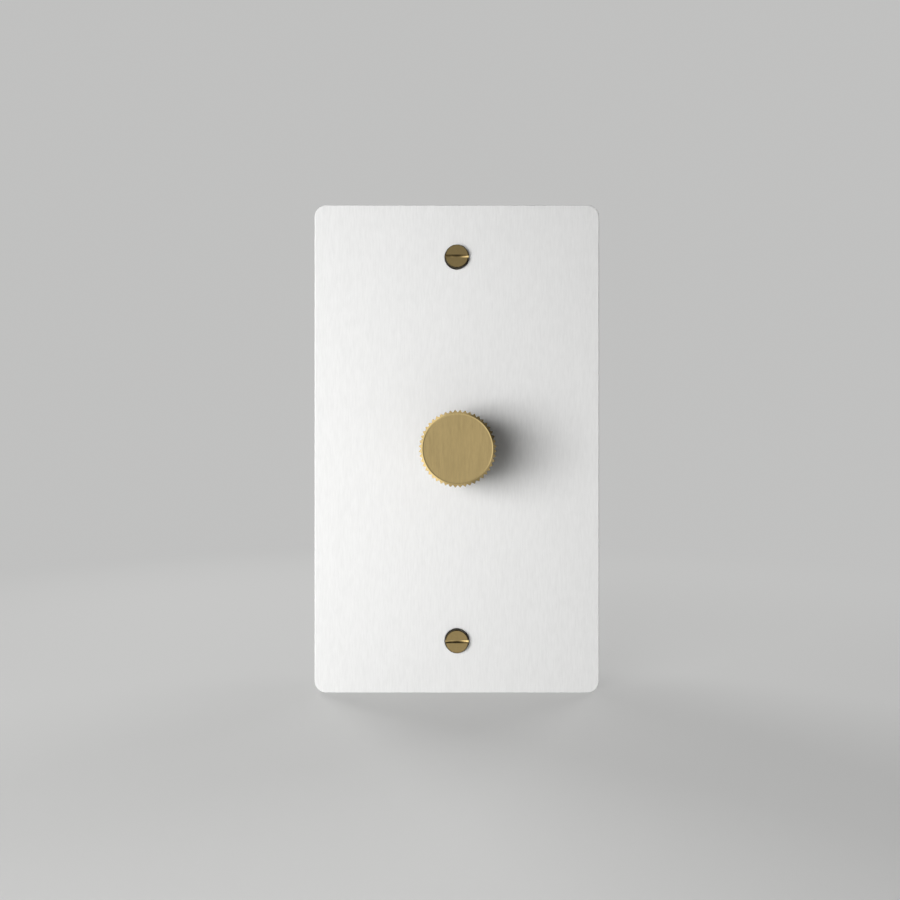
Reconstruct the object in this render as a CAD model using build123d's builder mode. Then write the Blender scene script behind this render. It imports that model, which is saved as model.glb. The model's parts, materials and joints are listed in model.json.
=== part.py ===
"""Rotary dimmer switch for a one-gang wall box, turned to dim and pushed to switch. Millimetres.

X points right and Z up on the wall, and Y points into the wall, so the front faces -Y.
The origin is midway between the two box-screw holes, on the back of the strap's centre.
A depth is a Y value: zero at the strap's back, negative towards the room.
"""
import math
import os

from build123d import *

os.makedirs("parts", exist_ok=True)

# Clearances
thread_gap = 0.05
running_gap = 0.05
fit_gap = 0.02
loose_gap = 0.1

# Strap, folded from sheet: its ends lie on the wall and its centre sits back in the box
strap_thickness = 1.2
strap_recess = 3.8
strap_fold_reach = 46.0
strap_shoulder = 5.5
strap_bend_radius = 1.1
tab_width = 33.0
tab_screw_margin = 4.58
tab_corner_radius = 2.5
box_screw_spacing = 83.34
box_hole_radius = 2.2

# Face plate and the gasket that fills the strap's thickness behind its edge
plate_width = 72.0
plate_height = 123.3
plate_thickness = 1.8
plate_corner_radius = 3.0
plate_edge_radius = 0.3
gasket_inset = 1.0
gasket_border = 6.0
gasket_strap_gap = 0.65

# Plate screws: cheese heads with a sawn slot, sunk in counterbores
plate_screw_spacing = 96.84
plate_screw_radius = 1.7
plate_screw_length = 9.0
plate_screw_head_radius = 2.95
plate_screw_head_height = 2.0
plate_screw_head_gap = 0.2
plate_screw_sink = 0.7
plate_screw_bevel = 0.2
plate_screw_slot_width = 0.7
plate_screw_slot_depth = 1.0
slot_saw_radius = 8.0

# Knob, turned and straight-knurled
knob_tip_radius = 8.77
knob_tooth_count = 48
knob_tooth_depth = 0.57
knob_length = 19.3
knob_plate_gap = 2.2
knob_rim_radius = 7.9
knob_rim_width = 0.22
knob_rim_height = 0.16
knob_rear_chamfer = 0.4
knob_recess_radius = 6.6
knob_recess_depth = 1.0
knob_wall = 5.7

# Grub screw in the underside of the knob
grub_radius = 1.5
grub_length = 5.0
grub_socket_flats = 1.5
grub_socket_depth = 2.0
grub_inset = 4.5

# Shaft, with a flat for the knob and one for the rotor
shaft_radius = 3.0
shaft_flat = 2.4
shaft_end_chamfer = 0.4
push_travel = 1.6
groove_radius = 2.4
clip_radius = 5.2
clip_thickness = 0.8
clip_opening = 3.6
clip_notch_radius = 0.8

# Bush that holds the works to the strap
bush_radius = 5.0
bush_flange_radius = 8.0
bush_flange_thickness = 1.5
bush_spigot_radius = 4.2
bush_end_chamfer = 0.5
bush_below_plate = 0.6
plate_bush_gap = 0.6
nut_flats = 14.0
nut_thickness = 2.2
nut_chamfer_height = 0.7
nut_chamfer_width = 1.4
washer_radius = 8.3
washer_thickness = 0.5
washer_tooth_count = 8
washer_tooth_depth = 1.6
washer_tooth_gap = 1.5

# Potentiometer
cup_radius = 12.0
cup_front_wall = 1.0
cup_ledge_radius = 7.0
cup_rim = 1.3
cup_seat_step = 0.7
cup_tab_count = 3
cup_tab_start = -30.0
cup_tab_width = 4.0
cup_tab_reach = 1.3
cup_tab_thickness = 0.5
rotor_thickness = 2.3
rotor_hub_radius = 4.4
rotor_hub_length = 2.0
rotor_lug_half_angle = 14.0
stop_height = 1.2
stop_half_angle = 12.0
stop_gap = 0.2
wiper_thickness = 0.3
wiper_radius = 6.6
wiper_half_angle = 55.0
wiper_finger_width = 1.0
wiper_finger_pitch = 22.0
track_inner_radius = 5.8
track_outer_radius = 8.4
track_half_angle = 155.0
track_thickness = 0.1
wafer_thickness = 1.2
wafer_tongue_width = 14.0
wafer_tongue_length = 5.0
wafer_shaft_gap = 0.4
pin_count = 3
pin_width = 1.0
pin_thickness = 0.6
pin_head = 1.8
pin_head_height = 0.5
pin_pitch = 5.0
pin_cup_gap = 2.5
pin_stub = 0.7

# Circuit board
board_thickness = 1.6
board_gap = 1.0
board_side_gap = 0.5
board_boss_gap = 0.4
board_hole_radius = 4.5

# Push switch behind the board
switch_size = 13.0
switch_wall = 1.0
switch_floor_gap = 1.65
stem_radius = 2.0
carrier_gap = 0.6
carrier_thickness = 2.0
spigot_radius = 1.4
spigot_length = 2.4
bridge_width = 3.0
bridge_thickness = 0.4
contact_thickness = 0.5
contact_reach = 2.4
spring_radius = 2.6
spring_wire = 0.5
spring_turns = 3

# Power parts
triac_width = 10.0
triac_length = 9.0
triac_height = 4.5
triac_cup_gap = 1.8
triac_bevel = 0.5
triac_tab_length = 15.7
triac_tab_thickness = 1.3
triac_hole_offset = 3.0
triac_leg_count = 3
triac_leg_pitch = 2.54
triac_leg_width = 0.7
triac_leg_thickness = 0.5
triac_leg_drop = 0.9
triac_leg_depth = 2.4
triac_leg_bend = 0.5
rivet_radius = 1.6
rivet_head_radius = 2.8
rivet_head_height = 0.9
choke_end_inset = 7.0
choke_core_radius = 3.5
choke_core_length = 19.0
choke_winding_radius = 5.2
choke_winding_length = 15.0
film_width = 7.0
film_height = 16.0
film_side_inset = 5.5
film_floor_gap = 3.15
can_radius = 4.0
can_bevel = 0.4
can_side_inset = 8.5
can_end_inset = 10.5
can_floor_gap = 2.65
fuse_pocket_gap = 4.7
fuse_length = 12.0
fuse_radius = 2.1
fuse_cap_length = 2.4
fuse_cap_step = 0.3
resistor_offset = 9.0
resistor_end_inset = 4.5
resistor_pitch = 4.5
resistor_length = 6.0
resistor_radius = 1.2
resistor_lead_radius = 0.3
resistor_lead_reach = 1.2

# Housing behind the strap
case_width = 44.0
case_height = 66.0
case_depth = 31.0
case_corner_radius = 2.5
case_rear_bevel = 0.8
case_draft = 1.0
case_wall = 2.0
cover_thickness = 2.0
boss_radius = 3.3
boss_inset = 4.5
case_screw_radius = 1.4
case_screw_head_radius = 2.5
case_screw_head_height = 1.6
case_screw_sink = 2.6
case_screw_stub = 0.4
cross_width = 0.7
cross_length = 3.0
cross_depth = 0.8
ledge_reach = 1.5
ledge_width = 3.0
ledge_z = 22.0

# Side terminals
terminal_z = 12.0
terminal_pocket_height = 12.0
terminal_pocket_length = 10.0
terminal_pocket_depth = 3.8
terminal_pocket_wall = 1.5
terminal_front_wall = 1.7
terminal_plate_height = 9.0
terminal_plate_thickness = 1.0
terminal_leg_width = 3.0
terminal_screw_radius = 1.7
terminal_screw_length = 4.2
terminal_head_radius = 3.4
terminal_head_height = 2.2
terminal_slot_width = 0.8
terminal_slot_depth = 1.0

# Ground screw on the strap
ground_side_inset = 9.0
ground_screw_radius = 1.7
ground_screw_length = 5.0
ground_head_flats = 5.6
ground_head_height = 1.8
ground_flange_radius = 3.4
ground_flange_thickness = 0.6
ground_slot_width = 0.8

# Radii, widths and places that follow from the sizes
strap_width = case_width
tab_reach = plate_screw_spacing / 2 + tab_screw_margin
cup_seat_radius = cup_radius - cup_rim
cup_bore_radius = cup_seat_radius - cup_seat_step
stop_radius = cup_bore_radius - stop_height
rotor_radius = stop_radius - stop_gap
rotor_lug_radius = cup_bore_radius - stop_gap
board_width = case_width - 2 * (case_wall + board_side_gap)
board_height = case_height - 2 * (case_wall + board_side_gap)
boss_x = case_width / 2 - boss_inset
boss_z = case_height / 2 - boss_inset
contact_outer = switch_size / 2 - switch_wall - loose_gap
contact_leg_x = contact_outer - contact_thickness / 2
carrier_size = 2 * (contact_outer - contact_thickness - carrier_gap)
pin_drop = cup_radius + pin_cup_gap
triac_base = cup_radius + triac_cup_gap
rivet_z = triac_base + triac_tab_length - triac_hole_offset
choke_drop = board_height / 2 - choke_end_inset
pocket_floor = case_width / 2 - terminal_pocket_depth
pocket_block_x = pocket_floor - terminal_pocket_wall
fuse_place = pocket_block_x - fuse_pocket_gap
can_place = (can_side_inset - board_width / 2, board_height / 2 - can_end_inset)
resistor_top = board_height / 2 - resistor_end_inset
resistor_rows = (resistor_top, resistor_top - resistor_pitch)
ground_place = (ground_side_inset - strap_width / 2, -(case_height / 2 + strap_fold_reach) / 2)
case_screw_places = ((boss_x, boss_z), (-boss_x, -boss_z))
plate_screw_places = ((0, plate_screw_spacing / 2), (0, -plate_screw_spacing / 2))
box_screw_places = ((0, box_screw_spacing / 2), (0, -box_screw_spacing / 2))
terminal_places = (terminal_z, -terminal_z)

# Depths that follow from the sizes
wall_face = -strap_recess
plate_back = wall_face - strap_thickness
plate_front = plate_back - plate_thickness
screw_seat = plate_front + plate_screw_sink
head_front = screw_seat - plate_screw_head_height
knob_rear = plate_front - knob_plate_gap
knob_front = knob_rear - knob_length
shaft_front = knob_front + knob_wall
bush_front = plate_front + bush_below_plate
flange_back = cover_thickness + bush_flange_thickness
cup_inside = flange_back + cup_front_wall
clip_back = cup_inside + running_gap + clip_thickness
groove_back = clip_back + running_gap
cup_ledge_depth = groove_back + push_travel
rotor_front = cup_ledge_depth + loose_gap
rotor_back = rotor_front + rotor_thickness
hub_back = rotor_back + rotor_hub_length
track_front = hub_back + running_gap
wiper_tip = track_front - running_gap - wiper_thickness / 2
wafer_front = track_front + track_thickness
wafer_back = wafer_front + wafer_thickness
board_front = wafer_back + board_gap
board_back = board_front + board_thickness
shaft_back = board_front - loose_gap
stem_front = shaft_back + loose_gap
switch_front = board_back + switch_wall
carrier_front = switch_front + loose_gap
carrier_back = carrier_front + carrier_thickness
bridge_back = carrier_back + bridge_thickness
contact_front = bridge_back + push_travel + loose_gap
case_floor = case_depth - case_wall
switch_back = case_floor - switch_floor_gap
spring_back = switch_back - switch_wall
film_back = case_floor - film_floor_gap
can_back = case_floor - can_floor_gap
case_screw_seat = case_depth - case_screw_sink
pocket_front = board_back + terminal_front_wall
pocket_middle = pocket_front + terminal_pocket_length / 2


def facing(depth):
    """Plane parallel to the wall at a depth, seen from the front and pointing to the room."""
    return Plane.XZ.offset(-depth)


def sector(inner, outer, half_angle, middle_angle):
    """Ring sector about the knob's axis, as drawn from the front."""
    start = middle_angle - half_angle
    with BuildSketch() as shape:
        with BuildLine():
            outside = CenterArc((0, 0), outer, start, 2 * half_angle)
            inside = CenterArc((0, 0), inner, start, 2 * half_angle)
            Line(outside @ 0, inside @ 0)
            Line(outside @ 1, inside @ 1)
        make_face()
    return shape.sketch


def d_section(radius, flat):
    """Round section with a flat below the axis."""
    with BuildSketch() as shape:
        Circle(radius)
        with Locations((0, -flat)):
            Rectangle(2 * radius, radius, align=(Align.CENTER, Align.MAX), mode=Mode.SUBTRACT)
    return shape.sketch


def knurl_outline():
    """Closed zigzag of the knurl, with a valley at each quarter."""
    root = knob_tip_radius - knob_tooth_depth
    points = []
    for step in range(2 * knob_tooth_count):
        angle = math.pi * step / knob_tooth_count
        radius = knob_tip_radius if step % 2 else root
        points.append((radius * math.cos(angle), radius * math.sin(angle)))
    return points


# Face plate
with BuildPart() as face_plate:
    with BuildSketch(facing(plate_back)):
        RectangleRounded(plate_width, plate_height, plate_corner_radius)
        Circle(bush_radius + plate_bush_gap, mode=Mode.SUBTRACT)
        with Locations(*plate_screw_places):
            Circle(plate_screw_radius + loose_gap, mode=Mode.SUBTRACT)
    extrude(amount=plate_thickness)
    fillet(face_plate.faces().sort_by(Axis.Y)[0].outer_wire().edges(), plate_edge_radius)
    with BuildSketch(facing(screw_seat)):
        with Locations(*plate_screw_places):
            Circle(plate_screw_head_radius + plate_screw_head_gap)
    extrude(amount=plate_screw_sink, mode=Mode.SUBTRACT)

# Gasket between the plate's edge and the wall, open round the strap
gasket_width = plate_width - 2 * gasket_inset
gasket_height = plate_height - 2 * gasket_inset
with BuildPart() as wall_gasket:
    with BuildSketch(facing(wall_face)):
        RectangleRounded(gasket_width, gasket_height, plate_corner_radius)
        Rectangle(
            gasket_width - 2 * gasket_border,
            2 * (tab_reach + gasket_strap_gap),
            mode=Mode.SUBTRACT,
        )
    extrude(amount=strap_thickness)

# Plate screws: one turned screw, then the pair
with BuildPart() as plate_screw:
    with BuildSketch(facing(screw_seat)):
        Circle(plate_screw_head_radius)
    extrude(amount=plate_screw_head_height)
    chamfer(plate_screw.faces().sort_by(Axis.Y)[0].edges(), plate_screw_bevel)
    with BuildSketch(facing(screw_seat)):
        Circle(plate_screw_radius)
    extrude(amount=-plate_screw_length)
    with BuildSketch(Plane.XY):
        with Locations((0, head_front + plate_screw_slot_depth - slot_saw_radius)):
            Circle(slot_saw_radius)
    extrude(amount=plate_screw_slot_width / 2, both=True, mode=Mode.SUBTRACT)

with BuildPart() as plate_screws:
    with Locations(*((x, 0, z) for x, z in plate_screw_places)):
        add(plate_screw.part)

# Strap: the folded strip, cut to its plan
centre_line_depth = -strap_thickness / 2
tab_line_depth = wall_face - strap_thickness / 2
with BuildPart() as strap:
    with BuildSketch(Plane.YZ):
        with BuildLine():
            FilletPolyline(
                (tab_line_depth, -tab_reach),
                (tab_line_depth, -strap_fold_reach),
                (centre_line_depth, -strap_fold_reach),
                (centre_line_depth, strap_fold_reach),
                (tab_line_depth, strap_fold_reach),
                (tab_line_depth, tab_reach),
                radius=strap_bend_radius,
            )
        trace(line_width=strap_thickness)
    extrude(amount=strap_width / 2, both=True)
    with BuildSketch(facing(0)) as strap_plan:
        Rectangle(strap_width, 2 * (strap_fold_reach - strap_bend_radius - strap_thickness / 2))
        chamfer(strap_plan.vertices(), strap_shoulder)
        RectangleRounded(tab_width, 2 * tab_reach, tab_corner_radius)
    extrude(amount=-plate_front, both=True, mode=Mode.INTERSECT)
    with BuildSketch(facing(0)):
        Circle(bush_radius + loose_gap)
        with Locations(*box_screw_places):
            Circle(box_hole_radius)
        with Locations(*plate_screw_places):
            Circle(plate_screw_radius + thread_gap)
        with Locations(*case_screw_places):
            Circle(case_screw_radius + thread_gap)
        with Locations(ground_place):
            Circle(ground_screw_radius + thread_gap)
        with Locations((0, rivet_z)):
            Circle(rivet_radius)
    extrude(amount=-plate_front, both=True, mode=Mode.SUBTRACT)

# Ground screw: hexagon head with a flange
with BuildPart() as ground_screw:
    with BuildSketch(facing(-strap_thickness)):
        with Locations(ground_place):
            Circle(ground_flange_radius)
    extrude(amount=ground_flange_thickness)
    with BuildSketch(facing(-strap_thickness - ground_flange_thickness)):
        with Locations(ground_place):
            RegularPolygon(ground_head_flats / 2, 6, major_radius=False)
            Rectangle(2 * ground_flange_radius, ground_slot_width, mode=Mode.SUBTRACT)
    extrude(amount=ground_head_height)
    with BuildSketch(facing(-strap_thickness)):
        with Locations(ground_place):
            Circle(ground_screw_radius)
    extrude(amount=-ground_screw_length)

# Bush: barrel, flange behind the cover and spigot in the cup's front wall
bush_bore = shaft_radius + running_gap
with BuildPart() as threaded_bush:
    with BuildSketch(Plane.XY):
        Polygon(
            (bush_bore, bush_front),
            (bush_radius - bush_end_chamfer, bush_front),
            (bush_radius, bush_front + bush_end_chamfer),
            (bush_radius, cover_thickness),
            (bush_flange_radius, cover_thickness),
            (bush_flange_radius, flange_back),
            (bush_spigot_radius, flange_back),
            (bush_spigot_radius, cup_inside),
            (bush_bore, cup_inside),
        )
    revolve(axis=Axis.Y)

# Toothed lock washer on the strap
washer_front = -strap_thickness - washer_thickness
with BuildPart() as lock_washer:
    with BuildSketch(facing(-strap_thickness)):
        Circle(washer_radius)
        Circle(bush_radius + loose_gap, mode=Mode.SUBTRACT)
        with PolarLocations(bush_radius + loose_gap, washer_tooth_count):
            Rectangle(2 * washer_tooth_depth, washer_tooth_gap, mode=Mode.SUBTRACT)
    extrude(amount=washer_thickness)

# Nut, with its front corners turned off
nut_front = washer_front - nut_thickness
nut_corner = nut_flats / 2 / math.cos(math.pi / 6)
with BuildPart() as bush_nut:
    with BuildSketch(facing(washer_front)):
        RegularPolygon(nut_flats / 2, 6, major_radius=False)
    extrude(amount=nut_thickness)
    with BuildSketch(Plane.XY):
        Polygon(
            (bush_radius + thread_gap, washer_front),
            (nut_corner, washer_front),
            (nut_corner, nut_front + nut_chamfer_height),
            (nut_corner - nut_chamfer_width, nut_front),
            (bush_radius + thread_gap, nut_front),
        )
    revolve(axis=Axis.Y, mode=Mode.INTERSECT)

# Knob: the knurled bar, turned to the shape of its front, rear recess and bore
knob_stock_radius = knob_tip_radius + fit_gap
knob_edge_depth = knob_stock_radius - knob_rim_radius
knob_bore = shaft_radius + fit_gap
grub_depth = knob_rear - grub_inset
with BuildPart() as knob:
    with BuildSketch(facing(knob_rear)):
        Polygon(*knurl_outline())
    extrude(amount=knob_length)
    with BuildSketch(Plane.XY):
        Polygon(
            (0, knob_front + knob_rim_height),
            (knob_rim_radius - knob_rim_width, knob_front + knob_rim_height),
            (knob_rim_radius, knob_front),
            (knob_stock_radius, knob_front + knob_edge_depth),
            (knob_stock_radius, knob_rear - knob_rear_chamfer),
            (knob_stock_radius - knob_rear_chamfer, knob_rear),
            (knob_recess_radius, knob_rear),
            (knob_recess_radius, knob_rear - knob_recess_depth),
            (knob_bore, knob_rear - knob_recess_depth),
            (knob_bore, shaft_front - loose_gap),
            (0, shaft_front - loose_gap),
        )
    revolve(axis=Axis.Y, mode=Mode.INTERSECT)
    with BuildSketch(Plane.XY.offset(-knob_tip_radius)):
        with Locations((0, grub_depth)):
            Circle(grub_radius + fit_gap)
    extrude(amount=knob_tip_radius - shaft_flat, mode=Mode.SUBTRACT)

with BuildPart() as grub_screw:
    with BuildSketch(Plane.XY.offset(-shaft_flat)):
        with Locations((0, grub_depth)):
            Circle(grub_radius)
    extrude(amount=-grub_length)
    with BuildSketch(Plane.XY.offset(-shaft_flat - grub_length)):
        with Locations((0, grub_depth)):
            RegularPolygon(grub_socket_flats / 2, 6, major_radius=False)
    extrude(amount=grub_socket_depth, mode=Mode.SUBTRACT)

# Shaft: turned, then milled flat below for the knob and for the rotor
with BuildPart() as shaft:
    with BuildSketch(Plane.XY):
        Polygon(
            (0, shaft_front),
            (shaft_radius - shaft_end_chamfer, shaft_front),
            (shaft_radius, shaft_front + shaft_end_chamfer),
            (shaft_radius, cup_inside),
            (groove_radius, cup_inside),
            (groove_radius, groove_back),
            (shaft_radius, groove_back),
            (shaft_radius, shaft_back),
            (0, shaft_back),
        )
    revolve(axis=Axis.Y)
    with BuildSketch(facing(knob_rear - knob_recess_depth), facing(shaft_back)):
        with Locations((0, -shaft_flat)):
            Rectangle(2 * shaft_radius, shaft_radius, align=(Align.CENTER, Align.MAX))
    extrude(amount=knob_rear - knob_recess_depth - shaft_front, mode=Mode.SUBTRACT)

with BuildPart() as shaft_clip:
    with BuildSketch(facing(clip_back)):
        Circle(clip_radius)
        Circle(groove_radius, mode=Mode.SUBTRACT)
        Rectangle(clip_radius, clip_opening, align=(Align.MIN, Align.CENTER), mode=Mode.SUBTRACT)
        with PolarLocations(groove_radius, 2, start_angle=90):
            Circle(clip_notch_radius, mode=Mode.SUBTRACT)
    extrude(amount=clip_thickness)

# Cup of the potentiometer, with the end stop at the bottom and tabs over the wafer
with BuildPart() as pot_cup:
    with BuildSketch(Plane.XY):
        Polygon(
            (bush_spigot_radius, flange_back),
            (cup_radius, flange_back),
            (cup_radius, wafer_back),
            (cup_seat_radius, wafer_back),
            (cup_seat_radius, wafer_front),
            (cup_bore_radius, wafer_front),
            (cup_bore_radius, cup_ledge_depth),
            (cup_ledge_radius, cup_ledge_depth),
            (cup_ledge_radius, cup_inside),
            (bush_spigot_radius, cup_inside),
        )
    revolve(axis=Axis.Y)
    with BuildSketch(facing(rotor_back)):
        add(sector(stop_radius, cup_bore_radius + fit_gap, stop_half_angle, -90))
    extrude(amount=rotor_back - cup_ledge_depth)
    with BuildSketch(facing(wafer_back + cup_tab_thickness)):
        with PolarLocations(cup_radius - cup_tab_reach, cup_tab_count, start_angle=cup_tab_start):
            Rectangle(2 * cup_tab_reach, cup_tab_width)
        Circle(cup_radius, mode=Mode.INTERSECT)
    extrude(amount=cup_tab_thickness)
    with BuildSketch(facing(wafer_back)):
        with Locations((0, -cup_bore_radius)):
            Rectangle(wafer_tongue_width + 2 * fit_gap, 2 * cup_radius)
        Circle(cup_bore_radius, mode=Mode.SUBTRACT)
    extrude(amount=wafer_thickness, mode=Mode.SUBTRACT)

with BuildPart() as rotor:
    with BuildSketch(facing(rotor_back)):
        Circle(rotor_radius)
        add(sector(rotor_radius - fit_gap, rotor_lug_radius, rotor_lug_half_angle, 90))
    extrude(amount=rotor_thickness)
    with BuildSketch(facing(hub_back)):
        Circle(rotor_hub_radius)
    extrude(amount=rotor_hub_length)
    with BuildSketch(facing(hub_back)):
        add(d_section(shaft_radius + running_gap, shaft_flat + running_gap))
    extrude(amount=rotor_thickness + rotor_hub_length, mode=Mode.SUBTRACT)

# Wiper: a plate round the hub with three sprung fingers
with BuildPart() as wiper_finger:
    with BuildSketch(Plane.YZ):
        with BuildLine():
            Polyline(
                (rotor_back + wiper_thickness / 2, wiper_radius - wiper_finger_width),
                (rotor_back + wiper_thickness / 2, wiper_radius),
                (wiper_tip, wiper_radius + wiper_finger_width),
            )
        trace(line_width=wiper_thickness)
    extrude(amount=wiper_finger_width / 2, both=True)

with BuildPart() as wiper:
    with BuildSketch(facing(rotor_back + wiper_thickness)):
        add(sector(rotor_hub_radius, wiper_radius, wiper_half_angle, 90))
    extrude(amount=wiper_thickness)
    for turn in (-wiper_finger_pitch, 0, wiper_finger_pitch):
        add(wiper_finger.part.rotate(Axis.Y, turn))

with BuildPart() as track_wafer:
    with BuildSketch(facing(wafer_back)):
        Circle(cup_seat_radius - fit_gap)
        Rectangle(wafer_tongue_width, cup_radius + wafer_tongue_length, align=(Align.CENTER, Align.MAX))
        Circle(shaft_radius + wafer_shaft_gap, mode=Mode.SUBTRACT)
        with Locations((0, -pin_drop)):
            with GridLocations(pin_pitch, 0, pin_count, 1):
                Rectangle(pin_width, pin_thickness, mode=Mode.SUBTRACT)
    extrude(amount=wafer_thickness)

with BuildPart() as carbon_track:
    with BuildSketch(facing(wafer_front)):
        add(sector(track_inner_radius, track_outer_radius, track_half_angle, 90))
    extrude(amount=track_thickness)

with BuildPart() as pot_pins:
    with BuildSketch(facing(board_back + pin_stub)):
        with Locations((0, -pin_drop)):
            with GridLocations(pin_pitch, 0, pin_count, 1):
                Rectangle(pin_width, pin_thickness)
    extrude(amount=board_back + pin_stub - wafer_front)
    with BuildSketch(facing(wafer_front)):
        with Locations((0, -pin_drop)):
            with GridLocations(pin_pitch, 0, pin_count, 1):
                Rectangle(pin_head, pin_head)
    extrude(amount=pin_head_height)

# Circuit board, cut away round the case's bosses
leg_z = triac_base - triac_leg_drop
with BuildPart() as circuit_board:
    with BuildSketch(facing(board_back)):
        Rectangle(board_width, board_height)
        Circle(board_hole_radius, mode=Mode.SUBTRACT)
        with Locations(*case_screw_places):
            Circle(boss_radius + board_boss_gap, mode=Mode.SUBTRACT)
            Rectangle(2 * (board_width / 2 - boss_x), 2 * (board_height / 2 - boss_z), mode=Mode.SUBTRACT)
        with Locations((0, -pin_drop)):
            with GridLocations(pin_pitch, 0, pin_count, 1):
                Rectangle(pin_width, pin_thickness, mode=Mode.SUBTRACT)
        with Locations((0, leg_z)):
            with GridLocations(triac_leg_pitch, 0, triac_leg_count, 1):
                Rectangle(triac_leg_width, triac_leg_thickness, mode=Mode.SUBTRACT)
    extrude(amount=board_thickness)

# Push switch: cover, case, plunger with its bridge, fixed contacts and spring
with BuildPart() as switch_cover:
    with BuildSketch(facing(switch_front)):
        Rectangle(switch_size, switch_size)
        Circle(stem_radius + loose_gap, mode=Mode.SUBTRACT)
        with GridLocations(2 * contact_leg_x, 0, 2, 1):
            Rectangle(contact_thickness, bridge_width, mode=Mode.SUBTRACT)
    extrude(amount=switch_wall)

switch_inside = switch_size - 2 * switch_wall
with BuildPart() as switch_case:
    with BuildSketch(facing(switch_back)):
        Rectangle(switch_size, switch_size)
    extrude(amount=switch_back - switch_front)
    with BuildSketch(facing(spring_back)):
        Rectangle(switch_inside, switch_inside)
    extrude(amount=spring_back - switch_front, mode=Mode.SUBTRACT)

with BuildPart() as plunger:
    with BuildSketch(facing(carrier_front)):
        Circle(stem_radius)
    extrude(amount=carrier_front - stem_front)
    with BuildSketch(facing(carrier_back)):
        Rectangle(carrier_size, carrier_size)
    extrude(amount=carrier_thickness)
    with BuildSketch(facing(carrier_back)):
        Circle(spigot_radius)
    extrude(amount=-spigot_length)

with BuildPart() as contact_bridge:
    with BuildSketch(facing(bridge_back)):
        Rectangle(carrier_size, bridge_width)
        Circle(spigot_radius, mode=Mode.SUBTRACT)
    extrude(amount=bridge_thickness)

with BuildPart() as fixed_contacts:
    with BuildSketch(facing(contact_front)):
        with GridLocations(2 * contact_leg_x, 0, 2, 1):
            Rectangle(contact_thickness, bridge_width)
    extrude(amount=contact_front - board_back)
    with BuildSketch(facing(contact_front + contact_thickness)):
        with GridLocations(2 * contact_outer - contact_reach, 0, 2, 1):
            Rectangle(contact_reach, bridge_width)
    extrude(amount=contact_thickness)

spring_length = spring_back - bridge_back - spring_wire
with BuildPart() as return_spring:
    with BuildLine():
        coil = Helix(
            pitch=spring_length / spring_turns,
            height=spring_length,
            radius=spring_radius - spring_wire / 2,
            center=(0, bridge_back + spring_wire / 2, 0),
            direction=(0, 1, 0),
        )
    with BuildSketch(Plane(origin=coil @ 0, x_dir=(0, 1, 0), z_dir=coil % 0)):
        Rectangle(spring_wire, spring_wire)
    sweep(is_frenet=True)

# Triac on the back of the strap, its legs bent back through the board
with BuildPart() as triac_body:
    with BuildSketch(facing(triac_height)):
        with Locations((0, triac_base)):
            Rectangle(triac_width, triac_length, align=(Align.CENTER, Align.MIN))
    extrude(amount=triac_height - triac_tab_thickness)
    chamfer(triac_body.faces().sort_by(Axis.Y)[-1].edges(), triac_bevel)

with BuildPart() as triac_tab:
    with BuildSketch(facing(triac_tab_thickness)):
        with Locations((0, triac_base)):
            Rectangle(triac_width, triac_tab_length, align=(Align.CENTER, Align.MIN))
        with Locations((0, rivet_z)):
            Circle(rivet_radius, mode=Mode.SUBTRACT)
    extrude(amount=triac_tab_thickness)

with BuildPart() as triac_leg:
    with BuildSketch(Plane.YZ):
        with BuildLine():
            FilletPolyline(
                (triac_leg_depth, triac_base),
                (triac_leg_depth, leg_z),
                (board_back + pin_stub, leg_z),
                radius=triac_leg_bend,
            )
        trace(line_width=triac_leg_thickness)
    extrude(amount=triac_leg_width / 2, both=True)

with BuildPart() as triac_legs:
    with GridLocations(triac_leg_pitch, 0, triac_leg_count, 1):
        add(triac_leg.part)

with BuildPart() as triac_rivet:
    with BuildSketch(Plane.XY.offset(rivet_z)):
        Polygon(
            (0, -strap_thickness - rivet_head_height),
            (rivet_head_radius, -strap_thickness - rivet_head_height),
            (rivet_head_radius, -strap_thickness),
            (rivet_radius, -strap_thickness),
            (rivet_radius, triac_tab_thickness),
            (rivet_head_radius, triac_tab_thickness),
            (rivet_head_radius, triac_tab_thickness + rivet_head_height),
            (0, triac_tab_thickness + rivet_head_height),
        )
    revolve(axis=Axis((0, 0, rivet_z), (0, 1, 0)))

# Choke: rod core along X inside its winding, which lies on the board
choke_depth = board_back + choke_winding_radius
with BuildPart() as choke_core:
    with BuildSketch(Plane.YZ.offset(-choke_core_length / 2)):
        with Locations((choke_depth, -choke_drop)):
            Circle(choke_core_radius)
    extrude(amount=choke_core_length)

with BuildPart() as choke_winding:
    with BuildSketch(Plane.YZ.offset(-choke_winding_length / 2)):
        with Locations((choke_depth, -choke_drop)):
            Circle(choke_winding_radius)
            Circle(choke_core_radius, mode=Mode.SUBTRACT)
    extrude(amount=choke_winding_length)

with BuildPart() as film_capacitor:
    with BuildSketch(facing(film_back)):
        with Locations((film_side_inset - board_width / 2, 0)):
            Rectangle(film_width, film_height)
    extrude(amount=film_back - board_back)

with BuildPart() as electrolytic_capacitor:
    with BuildSketch(facing(can_back)):
        with Locations(can_place):
            Circle(can_radius)
    extrude(amount=can_back - board_back)
    chamfer(electrolytic_capacitor.faces().sort_by(Axis.Y)[-1].edges(), can_bevel)

# Fuse along Z, its caps lying on the board
fuse_cap_radius = fuse_radius + fuse_cap_step
fuse_depth = board_back + fuse_cap_radius
with BuildPart() as fuse:
    with BuildSketch(Plane.XY.offset(-fuse_length / 2)):
        with Locations((fuse_place, fuse_depth)):
            Circle(fuse_radius)
    extrude(amount=fuse_length)
    with BuildSketch(Plane.XY.offset(-fuse_length / 2), Plane.XY.offset(fuse_length / 2 - fuse_cap_length)):
        with Locations((fuse_place, fuse_depth)):
            Circle(fuse_cap_radius)
    extrude(amount=fuse_cap_length)

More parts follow.
